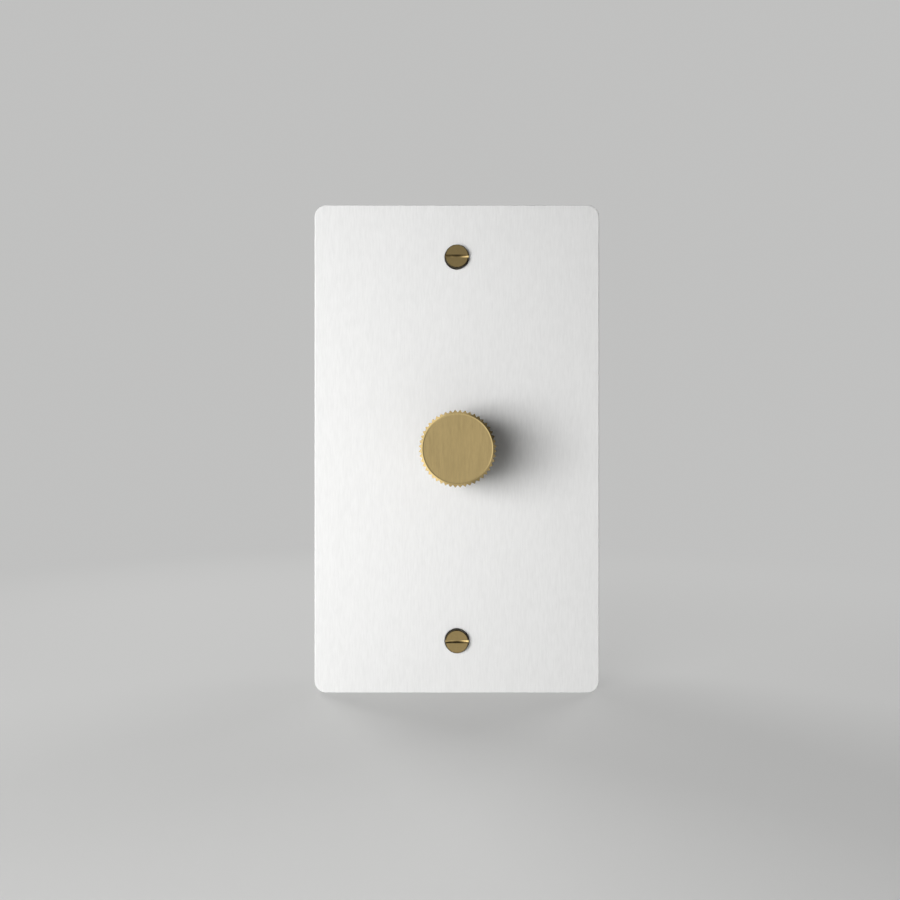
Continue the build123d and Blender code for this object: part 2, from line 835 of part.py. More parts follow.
resistor_depth = board_back + resistor_radius
lead_span = resistor_length / 2 + resistor_lead_reach
with BuildPart() as resistor:
    with BuildSketch(Plane.YZ.offset(-resistor_length / 2)):
        with Locations((resistor_depth, 0)):
            Circle(resistor_radius)
    extrude(amount=resistor_length)
    with BuildLine():
        Polyline(
            (-lead_span, board_back, 0),
            (-lead_span, resistor_depth, 0),
            (lead_span, resistor_depth, 0),
            (lead_span, board_back, 0),
        )
    with BuildSketch(Plane(origin=(-lead_span, board_back, 0), z_dir=(0, 1, 0))):
        Rectangle(2 * resistor_lead_radius, 2 * resistor_lead_radius)
    sweep(transition=Transition.RIGHT)

with BuildPart() as resistors:
    with Locations(*((resistor_offset, 0, z) for z in resistor_rows)):
        add(resistor.part)

# Cover under the strap, with a window for the triac
with BuildPart() as case_cover:
    with BuildSketch(facing(cover_thickness)):
        RectangleRounded(case_width, case_height, case_corner_radius)
        Circle(bush_radius + loose_gap, mode=Mode.SUBTRACT)
        with Locations(*case_screw_places):
            Circle(case_screw_radius + loose_gap, mode=Mode.SUBTRACT)
        with Locations((0, triac_base - loose_gap)):
            Rectangle(
                triac_width + 2 * loose_gap,
                triac_tab_length + 2 * loose_gap,
                align=(Align.CENTER, Align.MIN),
                mode=Mode.SUBTRACT,
            )
    extrude(amount=cover_thickness)

# Back case: shell, screw bosses, ledges for the board and the side pockets
inside_width = case_width - 2 * case_wall
inside_height = case_height - 2 * case_wall
inside_depth = case_floor - cover_thickness
pocket_block_height = terminal_pocket_height + 2 * terminal_pocket_wall
with BuildPart() as back_case:
    with BuildSketch(facing(cover_thickness)):
        RectangleRounded(case_width, case_height, case_corner_radius)
    extrude(amount=cover_thickness - case_depth, taper=case_draft)
    chamfer(back_case.faces().sort_by(Axis.Y)[-1].edges(), case_rear_bevel)
    with BuildSketch(facing(case_floor)):
        Rectangle(inside_width, inside_height)
    extrude(amount=inside_depth, mode=Mode.SUBTRACT)
    with BuildSketch(facing(case_floor)):
        with Locations(*case_screw_places):
            Circle(boss_radius)
        Rectangle(inside_width + case_wall, inside_height + case_wall, mode=Mode.INTERSECT)
    extrude(amount=inside_depth)
    with BuildSketch(facing(case_floor)):
        with GridLocations(inside_width - ledge_reach, 2 * ledge_z, 2, 2):
            Rectangle(ledge_reach, ledge_width)
        with Locations(*((pocket_block_x, z) for z in terminal_places)):
            Rectangle(
                inside_width / 2 - pocket_block_x,
                pocket_block_height,
                align=(Align.MIN, Align.CENTER),
            )
    extrude(amount=case_floor - board_back)
    with BuildSketch(facing(pocket_front + terminal_pocket_length)):
        with Locations(*((pocket_floor, z) for z in terminal_places)):
            Rectangle(terminal_pocket_depth, terminal_pocket_height, align=(Align.MIN, Align.CENTER))
    extrude(amount=terminal_pocket_length, mode=Mode.SUBTRACT)
    with BuildSketch(facing(pocket_front)):
        with Locations(*((pocket_floor, z) for z in terminal_places)):
            Rectangle(terminal_plate_thickness, terminal_leg_width, align=(Align.MIN, Align.CENTER))
    extrude(amount=terminal_front_wall, mode=Mode.SUBTRACT)
    with BuildSketch(Plane.YZ.offset(pocket_block_x)):
        with Locations(*((pocket_middle, z) for z in terminal_places)):
            Circle(terminal_screw_radius + loose_gap)
    extrude(amount=terminal_pocket_wall, mode=Mode.SUBTRACT)
    with BuildSketch(facing(case_depth)):
        with Locations(*case_screw_places):
            Circle(case_screw_head_radius + loose_gap)
    extrude(amount=case_screw_sink, mode=Mode.SUBTRACT)
    with BuildSketch(facing(case_depth)):
        with Locations(*case_screw_places):
            Circle(case_screw_radius + loose_gap)
    extrude(amount=case_depth - cover_thickness, mode=Mode.SUBTRACT)

# Case screws, from the rear into the strap
with BuildPart() as case_screws:
    with BuildSketch(facing(case_screw_seat + case_screw_head_height)):
        with Locations(*case_screw_places):
            Circle(case_screw_head_radius)
    extrude(amount=case_screw_head_height)
    with BuildSketch(facing(case_screw_seat)):
        with Locations(*case_screw_places):
            Circle(case_screw_radius)
    extrude(amount=case_screw_seat + strap_thickness + case_screw_stub)
    with BuildSketch(facing(case_screw_seat + case_screw_head_height)):
        with Locations(*case_screw_places):
            Rectangle(cross_length, cross_width)
            Rectangle(cross_width, cross_length)
    extrude(amount=cross_depth, mode=Mode.SUBTRACT)

# Side terminals: brass plates with a leg to the board, and their screws
plate_outside = pocket_floor + terminal_plate_thickness
with BuildPart() as terminal_plates:
    with BuildSketch(Plane.YZ.offset(pocket_floor)):
        for z in terminal_places:
            with Locations((pocket_front, z)):
                Rectangle(
                    terminal_pocket_length - loose_gap,
                    terminal_plate_height,
                    align=(Align.MIN, Align.CENTER),
                )
                Rectangle(terminal_front_wall, terminal_leg_width, align=(Align.MAX, Align.CENTER))
            with Locations((pocket_middle, z)):
                Circle(terminal_screw_radius + thread_gap, mode=Mode.SUBTRACT)
    extrude(amount=terminal_plate_thickness)

with BuildPart() as terminal_screws:
    with BuildSketch(Plane.YZ.offset(plate_outside)):
        with Locations(*((pocket_middle, z) for z in terminal_places)):
            Circle(terminal_head_radius)
    extrude(amount=terminal_head_height)
    with BuildSketch(Plane.YZ.offset(plate_outside)):
        with Locations(*((pocket_middle, z) for z in terminal_places)):
            Circle(terminal_screw_radius)
    extrude(amount=-terminal_screw_length)
    with BuildSketch(Plane.YZ.offset(plate_outside + terminal_head_height)):
        with Locations(*((pocket_middle, z) for z in terminal_places)):
            Rectangle(terminal_slot_width, 2 * terminal_head_radius)
    extrude(amount=-terminal_slot_depth, mode=Mode.SUBTRACT)

pieces = {
    "face_plate": face_plate,
    "wall_gasket": wall_gasket,
    "plate_screws": plate_screws,
    "strap": strap,
    "ground_screw": ground_screw,
    "threaded_bush": threaded_bush,
    "lock_washer": lock_washer,
    "bush_nut": bush_nut,
    "knob": knob,
    "grub_screw": grub_screw,
    "shaft": shaft,
    "shaft_clip": shaft_clip,
    "pot_cup": pot_cup,
    "rotor": rotor,
    "wiper": wiper,
    "track_wafer": track_wafer,
    "carbon_track": carbon_track,
    "pot_pins": pot_pins,
    "circuit_board": circuit_board,
    "switch_cover": switch_cover,
    "switch_case": switch_case,
    "plunger": plunger,
    "contact_bridge": contact_bridge,
    "fixed_contacts": fixed_contacts,
    "return_spring": return_spring,
    "triac_body": triac_body,
    "triac_tab": triac_tab,
    "triac_legs": triac_legs,
    "triac_rivet": triac_rivet,
    "choke_core": choke_core,
    "choke_winding": choke_winding,
    "film_capacitor": film_capacitor,
    "electrolytic_capacitor": electrolytic_capacitor,
    "fuse": fuse,
    "resistors": resistors,
    "case_cover": case_cover,
    "back_case": back_case,
    "case_screws": case_screws,
    "terminal_plates": terminal_plates,
    "terminal_screws": terminal_screws,
}
for name, piece in pieces.items():
    piece.part.label = name
    export_step(piece.part, f"parts/{name}.step")
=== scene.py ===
"""Studio scene of the rotary dimmer switch: materials, light, floor and the straight-on camera."""
import json
import math

import bpy
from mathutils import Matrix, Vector


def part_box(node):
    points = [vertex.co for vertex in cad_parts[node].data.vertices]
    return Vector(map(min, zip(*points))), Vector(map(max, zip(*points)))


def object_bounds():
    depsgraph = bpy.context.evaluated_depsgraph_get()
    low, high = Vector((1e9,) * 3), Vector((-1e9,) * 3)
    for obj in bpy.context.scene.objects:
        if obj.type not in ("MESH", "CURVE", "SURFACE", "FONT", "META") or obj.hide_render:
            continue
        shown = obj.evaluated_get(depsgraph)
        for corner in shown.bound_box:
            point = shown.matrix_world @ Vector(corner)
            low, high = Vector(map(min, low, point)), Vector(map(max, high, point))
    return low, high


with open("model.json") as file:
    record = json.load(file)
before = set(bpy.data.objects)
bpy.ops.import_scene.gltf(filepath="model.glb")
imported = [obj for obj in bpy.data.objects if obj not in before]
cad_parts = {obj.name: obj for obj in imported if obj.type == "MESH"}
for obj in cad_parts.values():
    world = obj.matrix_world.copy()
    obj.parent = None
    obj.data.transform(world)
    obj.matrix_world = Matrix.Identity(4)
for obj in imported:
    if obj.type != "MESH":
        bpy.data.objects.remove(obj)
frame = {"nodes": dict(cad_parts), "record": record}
cad_low, cad_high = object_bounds()
plate_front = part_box("face_plate")[0].y
knob_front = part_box("knob")[0].y

MM = 0.001

# Camera: straight at the plate, a hand's breadth in front of it
CAMERA_DISTANCE = 187.0 * MM
CAMERA_SIDE = -1.74 * MM
CAMERA_DROP = -0.28 * MM
CAMERA_LENS = 29.6
CAMERA_SENSOR = 36.0

# Key light: a window-shaped soft source to the front left
KEY_DISTANCE = 300.0 * MM
KEY_OFF_AXIS = math.radians(29.6)
KEY_LIFT = -1.6 * MM
KEY_WIDTH = 222.0 * MM
KEY_HEIGHT = 144.0 * MM
KEY_POWER = 1.005

# Fill lights behind the plate's face: place, width, height, power; the last one grazes its upper edge
FILLS = (
    ((-420.0 * MM, 420.0 * MM, 300.0 * MM), 300.0 * MM, 300.0 * MM, 3.2),
    ((420.0 * MM, 420.0 * MM, 260.0 * MM), 300.0 * MM, 300.0 * MM, 2.0),
    ((0.0, 30.0 * MM, 130.0 * MM), 100.0 * MM, 20.0 * MM, 0.03),
)

# Room that metal mirrors: brightness in front, to the left and to the right, and how far each side's
# zone reaches, as the sideways part of the direction, from where it is full to where it ends
MIRRORED_FRONT = 0.72
MIRRORED_LEFT = 1.5
MIRRORED_RIGHT = 0.30
LEFT_ZONE = (-0.6, -0.15)
RIGHT_ZONE = (0.5, 0.12)

# The same room is darker above and lighter below by DIM, in full from TILT on, and ENDS takes that
# back straight up and down; an odd power keeps the sign of the direction's upward part
MIRRORED_DIM = 0.215
MIRRORED_TILT = 0.28
MIRRORED_ENDS = 0.22
ODD_POWER = 3.0

# What else the room shows and gives: plain light, and the backdrop's colour
ROOM_LIGHT = 0.01
BACKDROP = (0.53, 0.53, 0.525, 1.0)

# Floor: its colour to the eye and to what it lights; its share of plain backdrop colour, PLAIN up to
# NEAR and whole from FAR on; and its glow, which lights the object only and ends at GLOW_REACH
FLOOR_COLOR = (0.74, 0.74, 0.73, 1.0)
FLOOR_BOUNCE = (0.35, 0.35, 0.345, 1.0)
FLOOR_ROUGHNESS = 0.9
FLOOR_SHINE = 0.1
FLOOR_PLAIN = 0.55
FLOOR_NEAR = 0.10
FLOOR_FAR = 0.30
FLOOR_GLOW = 0.30
GLOW_REACH = 0.26
FLOOR_RADIUS = 4.0

# Range that most of a noise texture's values lie in, and the samples of a softened edge
NOISE_LOW = 0.3
NOISE_HIGH = 0.7
EDGE_SAMPLES = 6

# Fine rim round the knob's face: its distances from the axis and its rear end, how softly they fade,
# and how far its slopes are shaded as if they faced the front
RIM_INNER = 7.68 * MM
RIM_OUTER = 7.9 * MM
RIM_BACK = knob_front + 0.2 * MM
RIM_FADE_IN = 0.05 * MM
RIM_FADE_OUT = 0.03 * MM
RIM_FADE_BACK = 0.02 * MM
RIM_CALM = 0.6


class Surface:
    """A material under construction: its shader and short helpers for its nodes."""

    def __init__(self, name, color, metallic=0.0, specular=0.5):
        self.material = bpy.data.materials.new(name)
        self.material.use_nodes = True
        self.tree = self.material.node_tree
        self.shader = self.tree.nodes["Principled BSDF"]
        self.color = color
        self.shader.inputs["Base Color"].default_value = (*color, 1.0)
        self.shader.inputs["Metallic"].default_value = metallic
        self.shader.inputs["Specular IOR Level"].default_value = specular
        self.normal = None

    def node(self, kind, **values):
        made = self.tree.nodes.new(kind)
        for key, value in values.items():
            setattr(made, key, value)
        return made

    def link(self, output, socket):
        self.tree.links.new(output, socket)

    def noise(self, grain, detail=3.0, rough=0.5, distortion=0.0):
        """Noise in the piece's own coordinates, whose grain is 1 / grain metres along each axis."""
        where = self.node("ShaderNodeTexCoord")
        mapping = self.node("ShaderNodeMapping")
        mapping.inputs["Scale"].default_value = grain
        made = self.node("ShaderNodeTexNoise")
        made.inputs["Scale"].default_value = 1.0
        made.inputs["Detail"].default_value = detail
        made.inputs["Roughness"].default_value = rough
        made.inputs["Distortion"].default_value = distortion
        self.link(where.outputs["Object"], mapping.inputs["Vector"])
        self.link(mapping.outputs["Vector"], made.inputs["Vector"])
        return made.outputs["Fac"]

    def ramp(self, value, low, high, low_out=0.0, high_out=1.0):
        """value stretched from low..high to low_out..high_out."""
        made = self.node("ShaderNodeMapRange")
        made.inputs["From Min"].default_value = low
        made.inputs["From Max"].default_value = high
        made.inputs["To Min"].default_value = low_out
        made.inputs["To Max"].default_value = high_out
        self.link(value, made.inputs["Value"])
        return made.outputs["Result"]

    def tint(self, noise, dark, light, low=NOISE_LOW, high=NOISE_HIGH):
        """Base colour from dark to light times the surface's own colour."""
        mix = self.node("ShaderNodeMix", data_type="RGBA")
        mix.inputs["A"].default_value = (*(c * dark for c in self.color), 1.0)
        mix.inputs["B"].default_value = (*(min(c * light, 1.0) for c in self.color), 1.0)
        self.link(self.ramp(noise, low, high), mix.inputs["Factor"])
        self.link(mix.outputs["Result"], self.shader.inputs["Base Color"])

    def rough(self, noise, low, high):
        self.link(self.ramp(noise, NOISE_LOW, NOISE_HIGH, low, high), self.shader.inputs["Roughness"])

    def bump(self, noise, depth, strength):
        """Adds a relief of that depth in metres to the ones before."""
        made = self.node("ShaderNodeBump")
        made.inputs["Distance"].default_value = depth
        made.inputs["Strength"].default_value = strength
        self.link(noise, made.inputs["Height"])
        if self.normal is not None:
            self.link(self.normal, made.inputs["Normal"])
        self.set_normal(made.outputs["Normal"])

    def soften(self, radius):
        """Rounds the light on sharp edges."""
        made = self.node("ShaderNodeBevel")
        made.inputs["Radius"].default_value = radius
        made.samples = EDGE_SAMPLES
        self.set_normal(made.outputs["Normal"])

    def set_normal(self, output):
        self.normal = output
        self.link(output, self.shader.inputs["Normal"])

    def by_slope(self, low, high, sideways, along_y):
        """sideways where the normal's part along Y is at most low, along_y where it is at least high."""
        where = self.node("ShaderNodeNewGeometry")
        split = self.node("ShaderNodeSeparateXYZ")
        size = self.node("ShaderNodeMath", operation="ABSOLUTE")
        self.link(where.outputs["Normal"], split.inputs["Vector"])
        self.link(split.outputs["Y"], size.inputs[0])
        facing = self.ramp(size.outputs["Value"], low, high)
        return self.ramp(facing, 0.0, 1.0, sideways, along_y)

    def shade_flanks(self, share, low, high):
        """Multiplies the colour by share where the surface faces sideways."""
        self.times(self.by_slope(low, high, share, 1.0))

    def hold_bounce(self, share):
        """Throws less light on its neighbours than shows on itself."""
        path = self.node("ShaderNodeLightPath")
        self.times(self.ramp(path.outputs["Is Diffuse Ray"], 0.0, 1.0, 1.0, share))

    def times(self, value):
        """Multiplies the base colour by value."""
        mix = self.node("ShaderNodeMix", data_type="RGBA", blend_type="MULTIPLY")
        mix.inputs["Factor"].default_value = 1.0
        base = self.shader.inputs["Base Color"].links[0].from_socket
        self.link(base, mix.inputs["A"])
        self.link(value, mix.inputs["B"])
        self.link(mix.outputs["Result"], self.shader.inputs["Base Color"])

    def product(self, first, second):
        made = self.node("ShaderNodeMath", operation="MULTIPLY")
        self.link(first, made.inputs[0])
        self.link(second, made.inputs[1])
        return made.outputs["Value"]

    def rim_share(self):
        """RIM_CALM on the knob's fine rim and 0 elsewhere."""
        where = self.node("ShaderNodeTexCoord")
        split = self.node("ShaderNodeSeparateXYZ")
        flat = self.node("ShaderNodeVectorMath", operation="MULTIPLY")
        flat.inputs[1].default_value = (1.0, 0.0, 1.0)
        reach = self.node("ShaderNodeVectorMath", operation="LENGTH")
        self.link(where.outputs["Object"], flat.inputs[0])
        self.link(where.outputs["Object"], split.inputs["Vector"])
        self.link(flat.outputs["Vector"], reach.inputs[0])
        within = self.ramp(reach.outputs["Value"], RIM_INNER - RIM_FADE_IN, RIM_INNER, 0.0, RIM_CALM)
        before = self.ramp(reach.outputs["Value"], RIM_OUTER, RIM_OUTER + RIM_FADE_OUT, 1.0, 0.0)
        ahead = self.ramp(split.outputs["Y"], RIM_BACK, RIM_BACK + RIM_FADE_BACK, 1.0, 0.0)
        return self.product(self.product(within, before), ahead)

    def calm_rim(self):
        """Turns the normal on the knob's fine rim towards the front."""
        mix = self.node("ShaderNodeMix", data_type="VECTOR")
        sloped, front = [socket for socket in mix.inputs if socket.type == "VECTOR"][-2:]
        turned_normal = [socket for socket in mix.outputs if socket.type == "VECTOR"][0]
        front.default_value = (0.0, -1.0, 0.0)
        even = self.node("ShaderNodeVectorMath", operation="NORMALIZE")
        self.link(self.rim_share(), mix.inputs["Factor"])
        self.link(self.normal, sloped)
        self.link(turned_normal, even.inputs[0])
        self.set_normal(even.outputs["Vector"])


def brushed_white():
    """White lacquer over vertically brushed metal, with a painted highlight on its rounded edges."""
    s = Surface("white_plate_paint", (0.84, 0.84, 0.834), specular=0.2)
    s.soften(0.15 * MM)
    streaks = s.noise((2600.0, 2600.0, 330.0), rough=0.6)
    fine = s.noise((7000.0, 7000.0, 700.0), detail=2.0)
    patches = s.noise((60.0, 60.0, 25.0), detail=2.0)
    s.tint(streaks, dark=0.963, light=1.03)
    s.rough(patches, 0.46, 0.58)
    # Painted highlight: faces turned away from the front, such as the rounded edges, are made lighter;
    # the sides that face straight out end a little darker than the face
    s.shade_flanks(1.10, low=0.8, high=0.97)
    s.shade_flanks(0.87, low=0.05, high=0.3)
    s.bump(streaks, 0.012 * MM, strength=0.6)
    s.bump(fine, 0.005 * MM, strength=0.5)
    return s.material


def brushed_brass(name, color, roughness, grain, flank=0.4, contrast=0.055):
    """Brass with fine brush marks and rougher flanks; grain is across and along the marks."""
    across, along = grain
    s = Surface(name, color, metallic=1.0)
    s.soften(0.04 * MM)
    streaks = s.noise((across, across, along), rough=0.6)
    s.tint(streaks, dark=1.0 - contrast, light=1.0 + contrast)
    s.link(s.by_slope(0.1, 0.6, flank, roughness), s.shader.inputs["Roughness"])
    s.bump(streaks, 0.003 * MM, strength=0.5)
    return s


def knob_brass():
    """Brushed brass, with painted shade on the knurl."""
    s = brushed_brass("knob_brass_metal", (0.69, 0.523, 0.242), 0.12, (2400.0, 340.0), contrast=0.075)
    # Painted shade: the knurl's flanks, which face sideways, are darkened
    s.shade_flanks(0.75, low=0.1, high=0.5)
    s.hold_bounce(0.3)
    s.calm_rim()
    return s.material


def screw_brass():
    """Brushed brass with painted light: a painted highlight on slopes such as the sawn slot floor, and
    painted shade on sunken edges and slot walls.
    """
    s = brushed_brass("screw_brass_metal", (0.405, 0.30, 0.135), 0.14, (2600.0, 1200.0))
    # Painted highlight: surfaces tilted more than a little from the front, such as the curved slot
    # floor, are lightened
    s.shade_flanks(2.3, low=0.985, high=0.9999)
    # Painted shade: steep flanks and slot walls are darkened to a small share of the colour
    s.shade_flanks(0.06, low=0.72, high=0.84)
    return s.material


def terminal_brass():
    """Rolled brass, as smooth on its flanks as on its faces."""
    s = brushed_brass("terminal_brass_metal", (0.76, 0.58, 0.25), 0.24, (2500.0, 300.0), flank=0.24)
    return s.material


def spring_bronze():
    """Bronze strip, as smooth on its flanks as on its faces."""
    s = brushed_brass("spring_bronze_strip", (0.60, 0.34, 0.16), 0.26, (3500.0, 300.0), flank=0.26)
    return s.material


def moulded(name, color, roughness, grain=2200.0):
    """Moulded plastic with a spark-eroded texture and faint flow marks."""
    s = Surface(name, color)
    s.soften(0.12 * MM)
    fine = s.noise((grain, grain, grain), rough=0.6)
    flow = s.noise((45.0, 45.0, 30.0), distortion=1.5)
    s.tint(flow, dark=0.88, light=1.12)
    s.rough(fine, roughness - 0.07, roughness + 0.09)
    s.bump(fine, 0.01 * MM, strength=0.7)
    return s.material


def plated(name, color, roughness=0.32, mottling=90.0):
    """Plated steel: soft spangle, rolling marks and a few dull spots."""
    s = Surface(name, color, metallic=1.0)
    s.soften(0.08 * MM)
    spangle = s.noise((mottling, mottling, mottling), detail=5.0, rough=0.65, distortion=0.6)
    rolling = s.noise((1500.0, 1500.0, 50.0))
    s.tint(spangle, dark=0.86, light=1.06)
    s.rough(spangle, roughness - 0.06, roughness + 0.12)
    s.bump(rolling, 0.004 * MM, strength=0.5)
    return s.material


def turned(name, color, roughness, pitch=5200.0):
    """Turned metal: fine tool marks round the knob's axis."""
    s = Surface(name, color, metallic=1.0)
    s.soften(0.05 * MM)
    marks = s.noise((60.0, pitch, 60.0))
    cloud = s.noise((400.0, 400.0, 400.0), detail=2.0)
    s.tint(marks, dark=0.92, light=1.05)
    s.rough(cloud, roughness - 0.05, roughness + 0.08)
    s.bump(marks, 0.004 * MM, strength=0.5)
    return s.material


def foam_rubber():
    """Closed-cell gasket: matt, with tiny pores."""
    s = Surface("gasket_foam", (0.045, 0.045, 0.048), specular=0.25)
    pores = s.noise((1800.0, 1800.0, 1800.0), detail=4.0, rough=0.7)
    s.tint(pores, dark=0.75, light=1.3, low=0.35, high=0.65)
    s.rough(pores, 0.78, 0.95)
    s.bump(pores, 0.05 * MM, strength=0.8)
    return s.material


def glazed(name, color, roughness=0.2):
    """Smooth resin, sleeve or lacquer with a faint orange peel."""
    s = Surface(name, color)
    s.soften(0.1 * MM)
    peel = s.noise((500.0, 500.0, 500.0), detail=2.0)
    cloud = s.noise((80.0, 80.0, 80.0), detail=2.0)
    s.tint(cloud, dark=0.9, light=1.08)
    s.rough(peel, roughness - 0.05, roughness + 0.1)
    s.bump(peel, 0.01 * MM, strength=0.5)
    return s.material


def laminate(name, color, weave):
    """Pressed sheet with a faint crossing weave under its surface."""
    s = Surface(name, color)
    warp = s.noise((weave, 200.0, weave / 8), detail=2.0)
    weft = s.noise((weave / 8, 200.0, weave), detail=2.0)
    s.tint(warp, dark=0.85, light=1.12)
    s.rough(weft, 0.32, 0.5)
    s.bump(weft, 0.01 * MM, strength=0.5)
    return s.material


SLOT_MATERIALS = {
    "white_plate": brushed_white(),
    "knob_brass": knob_brass(),
    "screw_brass": screw_brass(),
    "terminal_brass": terminal_brass(),
    "zinc_steel": plated("zinc_steel_metal", (0.60, 0.61, 0.62)),
    "nickel": turned("nickel_metal", (0.64, 0.62, 0.58), 0.26),
    "shaft_aluminium": turned("shaft_metal", (0.72, 0.73, 0.74), 0.28),
    "green_steel": plated("green_screw_metal", (0.05, 0.30, 0.11), 0.3, mottling=250.0),
    "gasket_rubber": foam_rubber(),
    "case_plastic": moulded("case_moulding", (0.018, 0.018, 0.020), 0.48),
    "cover_plastic": moulded("cover_moulding", (0.035, 0.035, 0.038), 0.52),
    "cup_metal": plated("cup_casting", (0.55, 0.55, 0.56), 0.45, mottling=400.0),
    "rotor_plastic": moulded("rotor_moulding", (0.78, 0.76, 0.70), 0.42, grain=900.0),
    "phenolic": laminate("phenolic_sheet", (0.20, 0.10, 0.04), weave=1400.0),
    "carbon": moulded("carbon_ink", (0.012, 0.012, 0.014), 0.6, grain=5000.0),
    "spring_bronze": spring_bronze(),
    "board": laminate("board_resist", (0.015, 0.11, 0.04), weave=900.0),
    "switch_plastic": moulded("switch_moulding", (0.012, 0.012, 0.013), 0.4),
    "contact_silver": plated("contact_plating", (0.72, 0.71, 0.69), 0.25, mottling=500.0),
    "spring_steel": turned("spring_wire", (0.42, 0.42, 0.43), 0.28),
    "epoxy": moulded("triac_epoxy", (0.010, 0.010, 0.011), 0.45, grain=4000.0),
    "tin": plated("tin_plating", (0.64, 0.64, 0.63), 0.35, mottling=300.0),
    "ferrite": moulded("ferrite_rod", (0.02, 0.02, 0.022), 0.6, grain=1800.0),
    "copper": turned("winding_copper", (0.55, 0.20, 0.07), 0.25, pitch=1700.0),
    "film_resin": glazed("film_resin_coat", (0.36, 0.045, 0.02)),
    "can_sleeve": glazed("can_sleeve_film", (0.012, 0.014, 0.05), 0.25),
    "fuse_ceramic": glazed("fuse_ceramic_glaze", (0.72, 0.70, 0.64)),
    "resistor_film": glazed("resistor_lacquer", (0.46, 0.33, 0.17)),
}


def dress_nodes():
    """Gives each CAD node the material of its record slot."""
    for part in frame["record"]["subparts"]:
        mesh = frame["nodes"][part["node"]].data
        mesh.materials.clear()
        mesh.materials.append(SLOT_MATERIALS[part["material_slot"]])


def add_camera():
    """Looks straight at the plate, along Y."""
    data = bpy.data.cameras.new("camera")
    data.lens = CAMERA_LENS
    data.sensor_width = CAMERA_SENSOR
    camera = bpy.data.objects.new("camera", data)
    camera.location = (CAMERA_SIDE, plate_front - CAMERA_DISTANCE, CAMERA_DROP)
    camera.rotation_euler = (math.radians(90.0), 0.0, 0.0)
    bpy.context.scene.collection.objects.link(camera)
    bpy.context.scene.camera = camera


def add_area(name, location, target, width, height, power):
    """A soft lamp that neither the camera nor metal sees; metal mirrors the room in its place."""
    data = bpy.data.lights.new(name, "AREA")
    data.shape = "RECTANGLE"
    data.size = width
    data.size_y = height
    data.energy = power
    lamp = bpy.data.objects.new(name, data)
    lamp.location = location
    lamp.rotation_mode = "QUATERNION"
    lamp.rotation_quaternion = (Vector(target) - Vector(location)).to_track_quat("-Z", "Y")
    lamp.visible_camera = False
    lamp.visible_glossy = False
    bpy.context.scene.collection.objects.link(lamp)


def add_lights():
    """The key light, and the fills behind the plate's face."""
    centre = Vector((0.0, plate_front, 0.0))
    key = centre + Vector((
        -KEY_DISTANCE * math.sin(KEY_OFF_AXIS),
        -KEY_DISTANCE * math.cos(KEY_OFF_AXIS),
        KEY_LIFT,
    ))
    add_area("key", key, centre, KEY_WIDTH, KEY_HEIGHT, KEY_POWER)
    for place, width, height, power in FILLS:
        add_area("fill", place, centre, width, height, power)


def link_all(tree, pairs):
    for output, socket in pairs:
        tree.links.new(output, socket)


def smooth_range(tree, low, high, low_out, high_out):
    """A node that eases from low_out to high_out while its value goes from low to high."""
    made = tree.nodes.new("ShaderNodeMapRange")
    made.interpolation_type = "SMOOTHSTEP"
    made.inputs["From Min"].default_value = low
    made.inputs["From Max"].default_value = high
    made.inputs["To Min"].default_value = low_out
    made.inputs["To Max"].default_value = high_out
    return made


def combine(tree, operation, first, second):
    """The result of an operation on two sockets, or on a socket and a plain value."""
    made = tree.nodes.new("ShaderNodeMath")
    made.operation = operation
    tree.links.new(first, made.inputs[0])
    if isinstance(second, float):
        made.inputs[1].default_value = second
    else:
        tree.links.new(second, made.inputs[1])
    return made.outputs["Value"]


def mirrored_level(tree):
    """Bright to the left, even in front, dark to the right, and darker above than below."""
    where = tree.nodes.new("ShaderNodeTexCoord")
    split = tree.nodes.new("ShaderNodeSeparateXYZ")
    tree.links.new(where.outputs["Generated"], split.inputs["Vector"])
    left_full, left_end = LEFT_ZONE
    right_full, right_end = RIGHT_ZONE
    left = smooth_range(tree, left_full, left_end, MIRRORED_LEFT - MIRRORED_FRONT, 0.0)
    right = smooth_range(tree, right_end, right_full, 0.0, MIRRORED_FRONT - MIRRORED_RIGHT)
    rise = tree.nodes.new("ShaderNodeMapRange")
    rise.inputs["From Min"].default_value = -MIRRORED_TILT
    rise.inputs["From Max"].default_value = MIRRORED_TILT
    rise.inputs["To Min"].default_value = -1.0
    for made, axis in ((left, "X"), (right, "X"), (rise, "Z")):
        tree.links.new(split.outputs[axis], made.inputs["Value"])
    across = combine(tree, "SUBTRACT", left.outputs["Result"], right.outputs["Result"])
    leaning = combine(tree, "POWER", rise.outputs["Result"], ODD_POWER)
    upright = combine(tree, "POWER", split.outputs["Z"], ODD_POWER)
    dim = combine(tree, "MULTIPLY", leaning, -MIRRORED_DIM)
    ends = combine(tree, "MULTIPLY", upright, MIRRORED_ENDS)
    upward = combine(tree, "ADD", combine(tree, "ADD", dim, ends), MIRRORED_FRONT)
    return combine(tree, "ADD", across, upward)


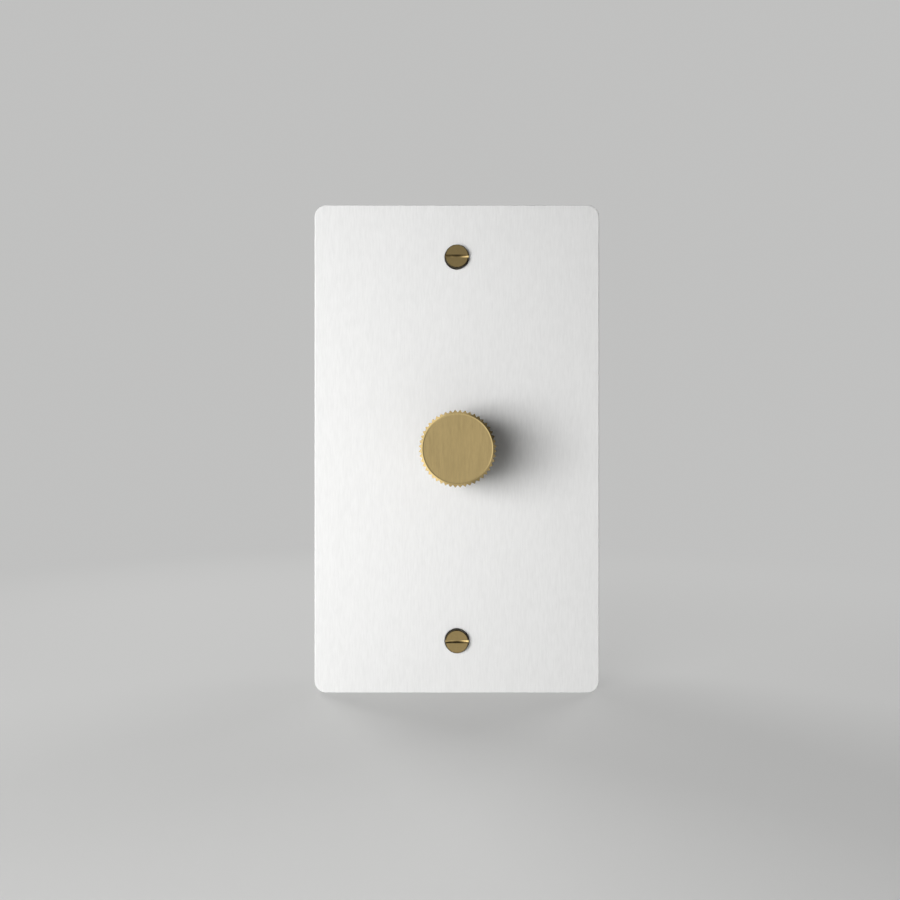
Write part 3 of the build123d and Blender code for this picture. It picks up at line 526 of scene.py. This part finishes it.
def add_room():
    """World: plain light, what metal mirrors, and the backdrop's colour."""
    world = bpy.data.worlds.new("room")
    world.use_nodes = True
    bpy.context.scene.world = world
    tree = world.node_tree
    tree.nodes.clear()
    light = tree.nodes.new("ShaderNodeBackground")
    light.inputs["Strength"].default_value = ROOM_LIGHT
    mirrored = tree.nodes.new("ShaderNodeBackground")
    backdrop = tree.nodes.new("ShaderNodeBackground")
    backdrop.inputs["Color"].default_value = BACKDROP
    path = tree.nodes.new("ShaderNodeLightPath")
    for_metal = tree.nodes.new("ShaderNodeMixShader")
    for_camera = tree.nodes.new("ShaderNodeMixShader")
    out = tree.nodes.new("ShaderNodeOutputWorld")
    link_all(tree, (
        (mirrored_level(tree), mirrored.inputs["Strength"]),
        (path.outputs["Is Glossy Ray"], for_metal.inputs["Fac"]),
        (light.outputs["Background"], for_metal.inputs[1]),
        (mirrored.outputs["Background"], for_metal.inputs[2]),
        (path.outputs["Is Camera Ray"], for_camera.inputs["Fac"]),
        (for_metal.outputs["Shader"], for_camera.inputs[1]),
        (backdrop.outputs["Background"], for_camera.inputs[2]),
        (for_camera.outputs["Shader"], out.inputs["Surface"]),
    ))


def paper_shader(tree, distance, for_object):
    """Pale paper to the eye; to the object it is darker and glows near by."""
    color = tree.nodes.new("ShaderNodeMix")
    color.data_type = "RGBA"
    shown, bounced = [socket for socket in color.inputs if socket.type == "RGBA"]
    mixed = [socket for socket in color.outputs if socket.type == "RGBA"][0]
    shown.default_value = FLOOR_COLOR
    bounced.default_value = FLOOR_BOUNCE
    near = smooth_range(tree, FLOOR_NEAR, GLOW_REACH, FLOOR_GLOW, 0.0)
    paper = tree.nodes["Principled BSDF"]
    paper.inputs["Roughness"].default_value = FLOOR_ROUGHNESS
    paper.inputs["Specular IOR Level"].default_value = FLOOR_SHINE
    paper.inputs["Emission Color"].default_value = FLOOR_COLOR
    glow = combine(tree, "MULTIPLY", near.outputs["Result"], for_object)
    link_all(tree, (
        (distance, near.inputs["Value"]),
        (for_object, color.inputs["Factor"]),
        (mixed, paper.inputs["Base Color"]),
        (glow, paper.inputs["Emission Strength"]),
    ))
    return paper.outputs["BSDF"]


def floor_material():
    """Paper that turns into the backdrop's plain colour further out."""
    material = bpy.data.materials.new("floor_paper")
    material.use_nodes = True
    tree = material.node_tree
    where = tree.nodes.new("ShaderNodeTexCoord")
    distance = tree.nodes.new("ShaderNodeVectorMath")
    distance.operation = "LENGTH"
    path = tree.nodes.new("ShaderNodeLightPath")
    paper = paper_shader(tree, distance.outputs["Value"], path.outputs["Is Diffuse Ray"])
    fade = smooth_range(tree, FLOOR_NEAR, FLOOR_FAR, FLOOR_PLAIN, 1.0)
    plain = tree.nodes.new("ShaderNodeEmission")
    plain.inputs["Color"].default_value = BACKDROP
    mix = tree.nodes.new("ShaderNodeMixShader")
    share = combine(tree, "MULTIPLY", fade.outputs["Result"], path.outputs["Is Camera Ray"])
    link_all(tree, (
        (where.outputs["Object"], distance.inputs[0]),
        (distance.outputs["Value"], fade.inputs["Value"]),
        (share, mix.inputs["Fac"]),
        (paper, mix.inputs[1]),
        (plain.outputs["Emission"], mix.inputs[2]),
        (mix.outputs["Shader"], tree.nodes["Material Output"].inputs["Surface"]),
    ))
    return material


def add_floor():
    """Floor level with the plate's lower edge; metal sees the mirrored room in its place."""
    mesh = bpy.data.meshes.new("floor")
    r = FLOOR_RADIUS
    mesh.from_pydata([(-r, -r, 0), (r, -r, 0), (r, r, 0), (-r, r, 0)], [], [(0, 1, 2, 3)])
    mesh.materials.append(floor_material())
    floor = bpy.data.objects.new("floor", mesh)
    floor.location = (0.0, 0.0, cad_low.z)
    floor.visible_glossy = False
    bpy.context.scene.collection.objects.link(floor)


dress_nodes()
add_camera()
add_lights()
add_room()
add_floor()
bpy.context.scene.view_settings.view_transform = "Standard"
